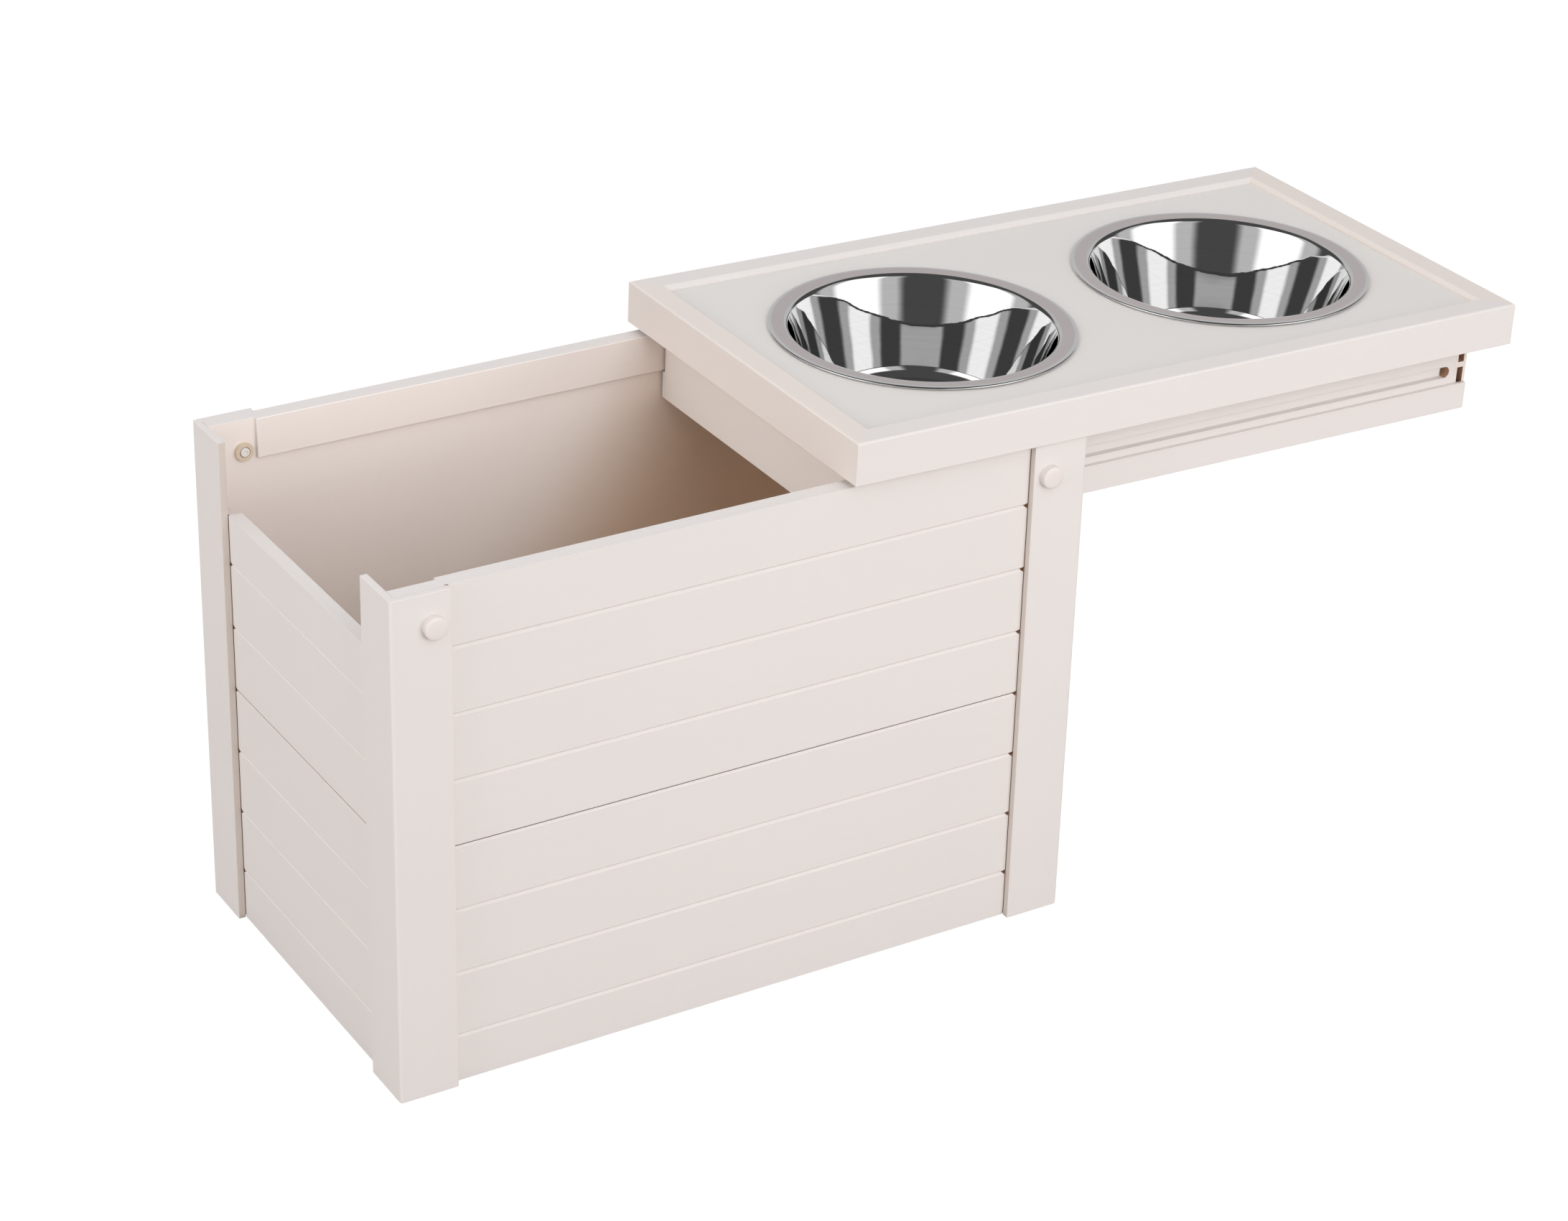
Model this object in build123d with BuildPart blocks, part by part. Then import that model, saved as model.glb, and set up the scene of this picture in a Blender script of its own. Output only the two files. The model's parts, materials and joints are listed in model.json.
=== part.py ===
"""Elevated feeder: a slatted storage box whose lid is a sliding tray that carries two steel bowls.

Row frame: +Z up, +X along the box towards the side where the tray is drawn out, Y across the box.
The origin lies on the floor, below the middle of the box with its tray drawn out.
The tray is drawn out as far as it goes, and droops slightly about the two guide pins that carry it.
"""

import os
from math import atan, cos, sin

from build123d import *

os.makedirs("parts", exist_ok=True)

# ---------------------------------------------------------------- driving dimensions (mm)

# Box
box_length = 518.0
box_depth = 300.0
post_height = 368.0
post_flange = 42.2
post_wall = 5.2
post_corner_radius = 2.0
board_thickness = 9.7
board_floor_gap = 0.8
slat_pitch = 47.9
long_joint_height = 179.2
side_joint_height = 182.4
side_wall_clearance = 1.2
vee_width = 2.8
vee_depth = 1.7
board_joint_gap = 0.6
tongue_height = 6.0
tongue_thickness = 3.2
tongue_clearance = 0.3
tenon_thickness = 4.8
tenon_shoulder_gap = 0.3
band_thickness = 3.3
band_end_clearance = 2.6
floor_level = 22.0
floor_thickness = 6.0
floor_side_clearance = 0.5
cleat_width = 12.0

# Guide pins
pin_edge_distance = 12.6
pin_drop = 23.2
pin_radius = 3.3
pin_hole_clearance = 0.08
pin_head_radius = 6.0
pin_head_height = 2.4
pin_end_proud = 0.8
pin_end_chamfer = 0.5
pin_dimple_radius = 1.5
pin_dimple_depth = 0.8
spigot_radius = 2.5
spigot_tip_clearance = 0.8
cap_wall = 1.7
cap_clearance = 0.2
cap_rim_height = 4.6
cap_dome_height = 1.4
washer_radius = 6.5
washer_bore_clearance = 0.5
washer_thickness = 2.7

# Tray
tray_length = 552.1
tray_side_overhang = 2.55
tray_overreach = 156.1
tray_seat_gap = 1.2
shut_end_clearance = 0.6
frame_height = 30.6
frame_border = 20.3
frame_edge_radius = 1.5
frame_inner_bevel = 2.6
panel_recess = 4.0
panel_thickness = 8.0
panel_edge_clearance = 0.3
ledge_width = 12.0

# Underframe of the tray
rail_side_clearance = 2.1
rail_thickness = 9.0
rail_height = 53.8
left_end_inset = 18.5
right_end_inset = 18.7
end_board_thickness = 9.7
end_board_wall = 2.3
end_board_web = 4.2
upper_chamber_height = 16.2
lip_end_setback = 0.8
lip_wall_clearance = 2.15
lip_washer_clearance = 3.0
hook_play = 3.6
hook_clearance = 0.4
groove_height = 8.4
groove_depth = 5.0
groove_end_margin = 5.4
groove_stop_clearance = 0.4

# Glides
glide_clearance = 0.25
glide_bore_clearance = 0.05
glide_face_clearance = 0.4

# Bowls
bowl_rim_radius = 108.0
bowl_mouth_radius = 94.5
bowl_floor_radius = 73.5
bowl_depth = 70.5
bowl_sheet = 0.8
bowl_corner_radius = 11.0
bowl_rim_drop = 0.5
bowl_rim_bead = 1.9
bowl_seat_clearance = 0.3
bowl_hole_clearance = 1.7

# ---------------------------------------------------------------- derived places

# Heights: everything on the tray is measured from the pins that carry it.
pin_level = post_height - pin_drop
groove_drop = pin_drop + tray_seat_gap
lip_top_drop = groove_drop + washer_radius + lip_washer_clearance
band_height = lip_top_drop - tray_seat_gap - hook_play
side_wall_height = pin_level + groove_drop - rail_height - side_wall_clearance

# Depths, from the posts' outer faces inwards.
wall_depth = post_wall + board_thickness
rail_face_inset = wall_depth + band_thickness + rail_side_clearance
lip_thickness = band_thickness + rail_side_clearance - lip_wall_clearance
pin_inset = post_flange - pin_edge_distance
band_end_inset = pin_inset + washer_radius + band_end_clearance
cap_radius = pin_head_radius + cap_clearance + cap_wall

# The tray is centred over the box's depth, with a bowl in the middle of each half of its recess.
tray_depth = box_depth + 2 * tray_side_overhang
tray_reach = tray_length - tray_overreach
tray_top_rise = groove_drop + frame_height
bowl_spacing = tray_length / 2 - frame_border
bowl_hole_radius = bowl_mouth_radius + bowl_sheet + bowl_hole_clearance

# Drawn out, the tray rocks on the pins until its lips bear on the bands. The lips come nearest to the bands
# part way through the travel, because the droop shrinks in step as the tray is shut.
lip_overreach = tray_overreach - left_end_inset
shut_travel = box_length - pin_inset - post_wall - lip_overreach - shut_end_clearance
hook_lever = (lip_overreach + shut_travel) ** 2 / (4 * shut_travel)
droop_angle = atan((hook_play - hook_clearance) / hook_lever)
droop_cos = cos(droop_angle)
droop_sin = sin(droop_angle)
open_length = box_length - pin_inset + tray_reach * droop_cos + tray_top_rise * droop_sin

box_left = -open_length / 2
box_right = box_left + box_length
box_front = -box_depth / 2
wall_inner_y = box_depth / 2 - post_wall - board_thickness
board_left = box_left + post_wall
board_right = box_right - post_wall
board_span = board_right - board_left
pin_left = box_left + pin_inset
pin_right = box_right - pin_inset

rail_face_y = box_depth / 2 - rail_face_inset
rail_left = left_end_inset + end_board_thickness - tray_overreach
rail_right = tray_reach - right_end_inset - end_board_thickness
lip_left = left_end_inset - tray_overreach
end_face_right = tray_reach - right_end_inset
lip_right = end_face_right - lip_end_setback
groove_radius = groove_height / 2
groove_left = -groove_stop_clearance
groove_right = rail_right - groove_end_margin - groove_radius
panel_top = frame_height - panel_recess
panel_bottom = panel_top - panel_thickness
tray_middle = tray_reach - tray_length / 2


def save(piece, name):
    """Label a finished piece and write it to its own file."""
    piece.label = name
    export_step(piece, f"parts/{name}.step")
    print(f"{name}: {piece.volume / 1000:.1f} cm3")


# The tray's own flat plane lies at the pins' height, with its origin between the two carrying pins.
tray_plane = Plane(
    origin=(pin_right, 0, pin_level),
    x_dir=(droop_cos, 0, -droop_sin),
    z_dir=(droop_sin, 0, droop_cos),
)


def tray_level(height):
    """Plane parallel to the tray, measured upwards from the underside of its frame."""
    return tray_plane.offset(groove_drop + height)


def tray_section(along):
    """Plane across the tray: local x is Y, local y rises from the pins' axis."""
    origin = tray_plane.from_local_coords(Vector(along, 0, 0))
    return Plane(origin=origin, x_dir=(0, 1, 0), z_dir=tray_plane.x_dir)


def tray_face(across, facing):
    """Upright plane along the tray at a Y position, facing the front (-1) or the back (1)."""
    origin = tray_plane.from_local_coords(Vector(0, across, 0))
    return Plane(origin=origin, x_dir=tray_plane.x_dir * -facing, z_dir=(0, facing, 0))


# ---------------------------------------------------------------- corner posts

# Each post is an angle. The side flanges at the drawing-out end stop at the side wall's top,
# which leaves the way free for the underframe of the tray.
post_corners = {
    "post_front_left": (box_left, -1, 1, post_height),
    "post_back_left": (box_left, 1, 1, post_height),
    "post_front_right": (box_right, -1, -1, side_wall_height),
    "post_back_right": (box_right, 1, -1, side_wall_height),
}

for name, (corner_x, side_y, inward_x, side_flange_height) in post_corners.items():
    corner_y = side_y * box_depth / 2
    pin_x = corner_x + inward_x * pin_inset
    with BuildPart() as post:
        with BuildSketch():
            with Locations((corner_x + inward_x * post_flange / 2, corner_y - side_y * post_wall / 2)):
                Rectangle(post_flange, post_wall)
        extrude(amount=post_height)
        with BuildSketch():
            with Locations((corner_x + inward_x * post_wall / 2, corner_y - side_y * post_flange / 2)):
                Rectangle(post_wall, post_flange)
        extrude(amount=side_flange_height)
        corner_edges = [
            edge
            for edge in post.edges().filter_by(Axis.Z)
            if abs(edge.center().X - corner_x) < post_wall / 4 and abs(edge.center().Y - corner_y) < post_wall / 4
        ]
        fillet(corner_edges, post_corner_radius)
        with BuildSketch(Plane(origin=(pin_x, corner_y, pin_level), z_dir=(0, -side_y, 0))):
            Circle(pin_radius + pin_hole_clearance)
        extrude(amount=post_wall, mode=Mode.SUBTRACT)
    save(post.part, name)

# ---------------------------------------------------------------- slatted walls


def board_profile(plane, bottom, top, joint):
    """Section of a board: local x is the depth from its outer face, local y its height.

    A board carries a tongue on top when the joint is its top, and a slot below when it is its bottom.
    Vee grooves mark the slats, counted from the joint.
    """
    carries_tongue = abs(top - joint) < 1e-6
    outer_bottom = bottom if carries_tongue else bottom + board_joint_gap
    middle = board_thickness / 2
    with BuildSketch(plane) as profile:
        with Locations((middle, (outer_bottom + top) / 2)):
            Rectangle(board_thickness, top - outer_bottom)
        # The boards meet on their inner half; the outer half keeps the gap that shows as a dark line.
        if not carries_tongue:
            with Locations(((middle + board_thickness) / 2, (joint + outer_bottom) / 2)):
                Rectangle(board_thickness - middle, outer_bottom - joint)
        if carries_tongue:
            with Locations((middle, top + tongue_height / 2)):
                Rectangle(tongue_thickness, tongue_height)
        else:
            slot_height = tongue_height + tongue_clearance
            with Locations((middle, joint + slot_height / 2)):
                Rectangle(tongue_thickness + 2 * tongue_clearance, slot_height, mode=Mode.SUBTRACT)
        step = -slat_pitch if carries_tongue else slat_pitch
        vee_level = joint + step
        vee_levels = [joint + board_joint_gap / 2]
        while outer_bottom + vee_width < vee_level < top - vee_width:
            vee_levels.append(vee_level)
            vee_level += step
        for level in vee_levels:
            with BuildLine():
                Polyline(
                    (0, level - vee_width / 2),
                    (vee_depth, level),
                    (0, level + vee_width / 2),
                    close=True,
                )
            make_face(mode=Mode.SUBTRACT)
    return profile.sketch


def drill_pin_holes(side_y, xs):
    """Cut the guide pins' holes through a long wall."""
    for x in xs:
        with BuildSketch(Plane(origin=(x, side_y * box_depth / 2, pin_level), z_dir=(0, -side_y, 0))) as hole:
            Circle(pin_radius + pin_hole_clearance)
        extrude(hole.sketch, amount=post_wall + board_thickness, mode=Mode.SUBTRACT)


long_walls = {
    "front": Plane(origin=(board_left, box_front + post_wall, 0), x_dir=(0, 1, 0), z_dir=(1, 0, 0)),
    "back": Plane(origin=(board_right, -box_front - post_wall, 0), x_dir=(0, -1, 0), z_dir=(-1, 0, 0)),
}
for wall, plane in long_walls.items():
    side_y = -1 if wall == "front" else 1
    with BuildPart() as upper_board:
        extrude(board_profile(plane, long_joint_height, post_height, long_joint_height), amount=board_span)
        drill_pin_holes(side_y, (pin_left, pin_right))
    save(upper_board.part, f"{wall}_board_upper")
    with BuildPart() as lower_board:
        extrude(board_profile(plane, board_floor_gap, long_joint_height, long_joint_height), amount=board_span)
    save(lower_board.part, f"{wall}_board_lower")



def cut_tenons(plane):
    """Leave only the outer part of a side board's ends, which slips in behind the posts' flanges."""
    shoulder = box_depth / 2 - post_flange - tenon_shoulder_gap
    waste = wall_inner_y - shoulder
    for end in (-1, 1):
        with BuildSketch(Plane.XY) as corner:
            with Locations((plane.origin.X + plane.x_dir.X * (board_thickness + tenon_thickness) / 2, end * (shoulder + waste / 2))):
                Rectangle(board_thickness - tenon_thickness, waste)
        extrude(corner.sketch, amount=post_height, mode=Mode.SUBTRACT)


side_walls = {
    "left": Plane(origin=(board_left, wall_inner_y, 0), x_dir=(1, 0, 0), z_dir=(0, -1, 0)),
    "right": Plane(origin=(board_right, -wall_inner_y, 0), x_dir=(-1, 0, 0), z_dir=(0, 1, 0)),
}
for wall, plane in side_walls.items():
    with BuildPart() as upper_board:
        extrude(board_profile(plane, side_joint_height, side_wall_height, side_joint_height), amount=2 * wall_inner_y)
        cut_tenons(plane)
    save(upper_board.part, f"{wall}_board_upper")
    with BuildPart() as lower_board:
        extrude(board_profile(plane, board_floor_gap, side_joint_height, side_joint_height), amount=2 * wall_inner_y)
        cut_tenons(plane)
    save(lower_board.part, f"{wall}_board_lower")

# ---------------------------------------------------------------- keeper bands

# The tray's lips hook under these bands, which keeps the drawn-out tray from tipping.
for wall, side_y in (("front", -1), ("back", 1)):
    band_y = side_y * (wall_inner_y - band_thickness / 2)
    band_length = box_length - 2 * band_end_inset
    with BuildPart() as band:
        with BuildSketch(Plane.XY.offset(post_height - band_height)):
            with Locations((box_left + box_length / 2, band_y)):
                Rectangle(band_length, band_thickness)
        extrude(amount=band_height)
        inner_faces = band.faces().filter_by(Axis.Y).sort_by(Axis.Y)
        inner_face = inner_faces[0] if side_y > 0 else inner_faces[-1]
        chamfer(inner_face.edges(), length=band_thickness * 0.15)
    save(band.part, f"keeper_band_{wall}")

# ---------------------------------------------------------------- bin floor

floor_length = board_span - 2 * board_thickness
with BuildPart() as bin_floor:
    with BuildSketch(Plane.XY.offset(floor_level - floor_thickness)):
        with Locations((box_left + box_length / 2, 0)):
            Rectangle(floor_length - 2 * floor_side_clearance, 2 * (wall_inner_y - floor_side_clearance))
    extrude(amount=floor_thickness)
save(bin_floor.part, "bin_floor")

cleat_top = floor_level - floor_thickness
for wall, side_y in (("front", -1), ("back", 1)):
    with BuildPart() as cleat:
        with BuildSketch(Plane.XY.offset(board_floor_gap)):
            with Locations((box_left + box_length / 2, side_y * (wall_inner_y - cleat_width / 2))):
                Rectangle(floor_length, cleat_width)
        extrude(amount=cleat_top - board_floor_gap)
    save(cleat.part, f"floor_cleat_{wall}")

for wall, side_x in (("left", -1), ("right", 1)):
    cleat_x = box_left + box_length / 2 + side_x * (floor_length - cleat_width) / 2
    with BuildPart() as cleat:
        with BuildSketch(Plane.XY.offset(board_floor_gap)):
            with Locations((cleat_x, 0)):
                Rectangle(cleat_width, 2 * (wall_inner_y - cleat_width))
        extrude(amount=cleat_top - board_floor_gap)
    save(cleat.part, f"floor_cleat_{wall}")

# ---------------------------------------------------------------- guide pins

pin_places = [(x, side_y) for x in (pin_left, pin_right) for side_y in (-1, 1)]


def pin_plane(x, side_y, depth):
    """Plane square to a guide pin, at a depth inwards from the post's outer face."""
    return Plane(origin=(x, side_y * (box_depth / 2 - depth), pin_level), z_dir=(0, -side_y, 0))


pin_length = wall_depth + washer_thickness + pin_end_proud
spigot_length = rail_face_inset + groove_depth - spigot_tip_clearance - pin_length

for side, x in (("left", pin_left), ("right", pin_right)):
    with BuildPart() as pins:
        for side_y in (-1, 1):
            with BuildSketch(pin_plane(x, side_y, -pin_head_height)) as head:
                Circle(pin_head_radius)
            extrude(head.sketch, amount=pin_head_height)
            with BuildSketch(pin_plane(x, side_y, 0)) as shank:
                Circle(pin_radius)
            extrude(shank.sketch, amount=pin_length)
            if side == "right":
                with BuildSketch(pin_plane(x, side_y, pin_length)) as spigot:
                    Circle(spigot_radius)
                extrude(spigot.sketch, amount=spigot_length)
        circles = pins.edges().filter_by(GeomType.CIRCLE)
        pin_tips = circles.group_by(lambda edge: round(abs(edge.center().Y), 3))[0]
        chamfer(pin_tips, length=pin_end_chamfer)
        # A shallow dimple in each inner tip.
        tip_depth = pin_length + (spigot_length if side == "right" else 0)
        for side_y in (-1, 1):
            with BuildSketch(pin_plane(x, side_y, tip_depth - pin_dimple_depth)) as dimple:
                Circle(pin_dimple_radius)
            extrude(dimple.sketch, amount=pin_dimple_depth, mode=Mode.SUBTRACT)
    save(pins.part, f"guide_pins_{side}")

with BuildPart() as washers:
    for x, side_y in pin_places:
        with BuildSketch(pin_plane(x, side_y, wall_depth)) as ring:
            Circle(washer_radius)
            Circle(pin_radius + washer_bore_clearance, mode=Mode.SUBTRACT)
        extrude(ring.sketch, amount=washer_thickness)
save(washers.part, "guide_washers")

# Domed caps over the pins' heads, on the outside of the posts.
cap_height = cap_rim_height + cap_dome_height
with BuildPart() as caps:
    for x, side_y in pin_places:
        with BuildSketch(pin_plane(x, side_y, 0)) as cap_disc:
            Circle(cap_radius)
        extrude(cap_disc.sketch, amount=-cap_height)
    rims = caps.edges().filter_by(GeomType.CIRCLE)
    rims = [edge for edge in rims if abs(edge.center().Y) > box_depth / 2 + cap_rim_height]
    fillet(rims, cap_dome_height)
    for x, side_y in pin_places:
        with BuildSketch(pin_plane(x, side_y, 0)) as socket:
            Circle(pin_head_radius + cap_clearance)
        extrude(socket.sketch, amount=-pin_head_height - cap_clearance, mode=Mode.SUBTRACT)
save(caps.part, "pin_caps")

# ---------------------------------------------------------------- glides on the carrying pins

glide_length = groove_depth - 2 * glide_face_clearance
with BuildPart() as glides:
    for side_y in (-1, 1):
        with BuildSketch(pin_plane(pin_right, side_y, rail_face_inset + glide_face_clearance)) as ring:
            Circle(groove_radius - glide_clearance)
            Circle(spigot_radius + glide_bore_clearance, mode=Mode.SUBTRACT)
        extrude(ring.sketch, amount=glide_length - spigot_tip_clearance)
save(glides.part, "guide_glides")

# ---------------------------------------------------------------- tray frame


def ring_side(side, outer_inset, inner_inset):
    """Corners of one mitred side of a ring between two insets from the tray's outline."""

    def corners(inset):
        half_x = tray_length / 2 - inset
        half_y = tray_depth / 2 - inset
        return [
            (tray_middle - half_x, -half_y),
            (tray_middle + half_x, -half_y),
            (tray_middle + half_x, half_y),
            (tray_middle - half_x, half_y),
        ]

    outer, inner = corners(outer_inset), corners(inner_inset)
    following = (side + 1) % 4
    return [outer[side], outer[following], inner[following], inner[side]]


for side, name in enumerate(("frame_front", "frame_right", "frame_back", "frame_left")):
    along = tray_plane.y_dir if side % 2 else tray_plane.x_dir
    with BuildPart() as bar:
        with BuildSketch(tray_level(0)):
            with BuildLine():
                Polyline(*ring_side(side, 0, frame_border), close=True)
            make_face()
        extrude(amount=frame_height)
        long_edges = [e for e in bar.edges() if abs(abs(e.tangent_at(0.5).dot(along)) - 1) < 1e-6]
        by_height = ShapeList(long_edges).sort_by(lambda e: tray_plane.to_local_coords(e.center()).Z)
        top_edges = ShapeList(by_height[2:]).sort_by(Edge.length.fget)
        with BuildSketch(tray_level(0)):
            with BuildLine():
                Polyline(*ring_side(side, frame_border, frame_border + ledge_width), close=True)
            make_face()
        extrude(amount=panel_bottom)
        outer_edge = [e for e in bar.edges() if abs(e.length - top_edges[-1].length) < 1e-3]
        outer_top = ShapeList(outer_edge).sort_by(lambda e: tray_plane.to_local_coords(e.center()).Z)[-1]
        fillet(outer_top, frame_edge_radius)
        inner_edge = [e for e in bar.edges() if abs(e.length - top_edges[0].length) < 1e-3]
        inner_top = ShapeList(inner_edge).sort_by(lambda e: tray_plane.to_local_coords(e.center()).Z)[-1]
        chamfer(inner_top, length=frame_inner_bevel)
    save(bar.part, name)

bowl_places = {
    "left": tray_middle - bowl_spacing / 2,
    "right": tray_middle + bowl_spacing / 2,
}

panel_inset = frame_border + panel_edge_clearance
with BuildPart() as tray_panel:
    with BuildSketch(tray_level(panel_bottom)):
        with Locations((tray_middle, 0)):
            Rectangle(tray_length - 2 * panel_inset, tray_depth - 2 * panel_inset)
        with Locations([(along, 0) for along in bowl_places.values()]):
            Circle(bowl_hole_radius, mode=Mode.SUBTRACT)
    extrude(amount=panel_thickness)
save(tray_panel.part, "tray_panel")

# ---------------------------------------------------------------- underframe of the tray

frame_underside = groove_drop
for wall, facing in (("front", -1), ("back", 1)):
    outer_y = facing * rail_face_y
    inner_y = facing * (rail_face_y - rail_thickness)
    with BuildPart() as rail:
        with BuildSketch(tray_section(rail_left)):
            with Locations(((outer_y + inner_y) / 2, frame_underside - rail_height / 2)):
                Rectangle(rail_thickness, rail_height)
        extrude(amount=rail_right - rail_left)
        # Groove for the glide: it stops the tray at both ends of its travel.
        with BuildSketch(tray_face(outer_y, facing)) as groove:
            with Locations((-facing * (groove_left + groove_right) / 2, 0)):
                SlotCenterToCenter(groove_right - groove_left, groove_height)
        extrude(groove.sketch, amount=-groove_depth, mode=Mode.SUBTRACT)
        # The groove's round far end goes right through the rail.
        with BuildSketch(tray_face(outer_y, facing)) as end_hole:
            with Locations((-facing * groove_right, 0)):
                Circle(groove_radius)
            with Locations((-facing * (groove_right - groove_radius), 0)):
                Rectangle(2 * groove_radius, 2 * groove_height, mode=Mode.SUBTRACT)
        extrude(end_hole.sketch, amount=-rail_thickness, mode=Mode.SUBTRACT)
    save(rail.part, f"rail_{wall}")

    lip_height = rail_height - lip_top_drop
    lip_y = facing * (rail_face_y + lip_thickness / 2)
    with BuildPart() as lip:
        with BuildSketch(tray_section(lip_left)):
            with Locations((lip_y, frame_underside - rail_height + lip_height / 2)):
                Rectangle(lip_thickness, lip_height)
        extrude(amount=lip_right - lip_left)
    save(lip.part, f"keeper_lip_{wall}")

# Hollow end boards: two chambers run through each, open at the rails' faces.
end_boards = {
    "left": lip_left + end_board_thickness / 2,
    "right": end_face_right - end_board_thickness / 2,
}
lower_chamber_height = rail_height - upper_chamber_height - end_board_web - 2 * end_board_wall
chamber_width = end_board_thickness - 2 * end_board_wall
for end, along in end_boards.items():
    upper_middle = frame_underside - end_board_wall - upper_chamber_height / 2
    lower_middle = frame_underside - rail_height + end_board_wall + lower_chamber_height / 2
    with BuildPart() as end_board:
        with BuildSketch(tray_face(-rail_face_y, -1)):
            with Locations((along, frame_underside - rail_height / 2)):
                Rectangle(end_board_thickness, rail_height)
            with Locations((along, upper_middle)):
                Rectangle(chamber_width, upper_chamber_height, mode=Mode.SUBTRACT)
            with Locations((along, lower_middle)):
                Rectangle(chamber_width, lower_chamber_height, mode=Mode.SUBTRACT)
        extrude(amount=-2 * rail_face_y)
    save(end_board.part, f"end_board_{end}")

# ---------------------------------------------------------------- bowls

rim_top = bowl_rim_bead + bowl_seat_clearance
for side, along in bowl_places.items():
    seat = tray_level(panel_top).origin + tray_plane.x_dir * along
    bowl_plane = Plane(origin=seat, x_dir=tray_plane.x_dir, z_dir=(0, -1, 0))
    bowl_axis = Axis(seat, tray_plane.z_dir)
    bead_radius = bowl_rim_bead / 2
    with BuildPart() as bowl:
        with BuildSketch(bowl_plane):
            with BuildLine() as outline:
                floor_level_inner = rim_top - bowl_depth
                inner_wall = FilletPolyline(
                    (0, floor_level_inner),
                    (bowl_floor_radius, floor_level_inner),
                    (bowl_mouth_radius, rim_top - bowl_rim_drop),
                    (bowl_rim_radius - bead_radius, rim_top),
                    radius=(bowl_corner_radius, 2 * bowl_sheet),
                )
                bead = RadiusArc(
                    (bowl_rim_radius - bead_radius, rim_top),
                    (bowl_rim_radius - bead_radius, rim_top - bowl_rim_bead),
                    bead_radius,
                )
                outer_wall = FilletPolyline(
                    (bowl_rim_radius - bead_radius, rim_top - bowl_rim_bead),
                    (bowl_rim_radius - 2 * bead_radius, rim_top - bowl_sheet),
                    (bowl_mouth_radius + bowl_sheet, rim_top - bowl_rim_drop - bowl_sheet),
                    (bowl_floor_radius + bowl_sheet, floor_level_inner - bowl_sheet),
                    (0, floor_level_inner - bowl_sheet),
                    radius=(bowl_sheet / 2, bowl_sheet, bowl_corner_radius),
                )
                Line((0, floor_level_inner - bowl_sheet), (0, floor_level_inner))
            make_face()
        revolve(axis=bowl_axis)
    save(bowl.part, f"bowl_{side}")

print(f"open length {open_length:.2f}")
print(f"pin axis x {pin_right:.3f} z {pin_level:.1f}")
print(f"shutting travel {shut_travel:.2f}, droop {droop_angle:.6f} rad")
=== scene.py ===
# %% [markdown]
# # An elevated feeder with a sliding tray
#
# The object is a slatted storage box on four corner posts. A framed tray slides along its top and holds two
# steel bowls. Drawn out, the tray opens the bin and droops a little on the pins that carry it.
#
# The imported CAD model gives every size and place. This notebook gives its pieces their eased edges, their
# finishes and their light. First it loads the model.

# %% Load the imported model
import json
from math import atan2, cos, pi, radians, sin

import bmesh
import bpy
from mathutils import Matrix, Vector


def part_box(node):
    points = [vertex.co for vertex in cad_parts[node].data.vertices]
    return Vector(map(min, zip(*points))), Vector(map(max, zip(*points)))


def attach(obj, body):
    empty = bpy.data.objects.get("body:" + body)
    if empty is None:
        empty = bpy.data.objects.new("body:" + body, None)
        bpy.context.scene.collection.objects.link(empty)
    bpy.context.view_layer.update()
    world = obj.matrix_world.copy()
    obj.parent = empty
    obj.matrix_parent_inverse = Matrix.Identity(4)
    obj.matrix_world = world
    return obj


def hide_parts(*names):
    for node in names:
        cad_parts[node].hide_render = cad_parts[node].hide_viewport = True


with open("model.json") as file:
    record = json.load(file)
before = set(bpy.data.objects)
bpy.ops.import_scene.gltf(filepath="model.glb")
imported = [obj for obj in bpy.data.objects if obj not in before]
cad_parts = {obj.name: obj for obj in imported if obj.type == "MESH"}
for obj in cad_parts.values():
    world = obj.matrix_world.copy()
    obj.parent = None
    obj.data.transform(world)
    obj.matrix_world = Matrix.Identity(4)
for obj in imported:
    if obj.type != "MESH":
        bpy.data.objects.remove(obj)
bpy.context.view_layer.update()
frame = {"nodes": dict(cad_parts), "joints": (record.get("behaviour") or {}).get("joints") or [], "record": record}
nodes = frame["nodes"]
bodies = {name: body for body, names in frame["record"]["behaviour"]["bodies"].items() for name in names}
MM = 0.001

# %% [markdown]
# ## The camera
#
# The feeder is seen from its front left corner, from above, with a long lens, so that its uprights lean only
# slightly. The camera could be aimed with a Track To constraint, but three plain turns keep its slight roll.

# %% Place the camera
CAMERA_PLACE = (-1.33531, -2.04558, 1.45459)
CAMERA_TURNS = (62.4865, -1.5155, -31.0032)
LENS_MM = 88.695

camera_data = bpy.data.cameras.new("camera")
camera_data.lens = LENS_MM
camera_data.sensor_width = 36.0
camera = bpy.data.objects.new("camera", camera_data)
camera.location = CAMERA_PLACE
camera.rotation_euler = [radians(turn) for turn in CAMERA_TURNS]
bpy.context.scene.collection.objects.link(camera)
bpy.context.scene.camera = camera
bpy.context.scene.view_settings.view_transform = "Standard"
print("camera", tuple(camera.location), "lens", camera_data.lens)

# %% [markdown]
# ## A small kit for shader trees
#
# Every finish below is a tree of nodes. Helpers keep the trees short: one makes a material with its shader,
# one adds a node and wires its inputs, one turns a colour as it is seen into a linear one, and the others
# give the results of the nodes that are used most.


# %% Shader helpers
def seen(red, green, blue):
    """A colour written as it looks on screen, 0 to 255, as the linear colour that shaders use."""

    def linear(value):
        value /= 255
        return value / 12.92 if value <= 0.04045 else ((value + 0.055) / 1.055) ** 2.4

    return (linear(red), linear(green), linear(blue), 1.0)


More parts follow.
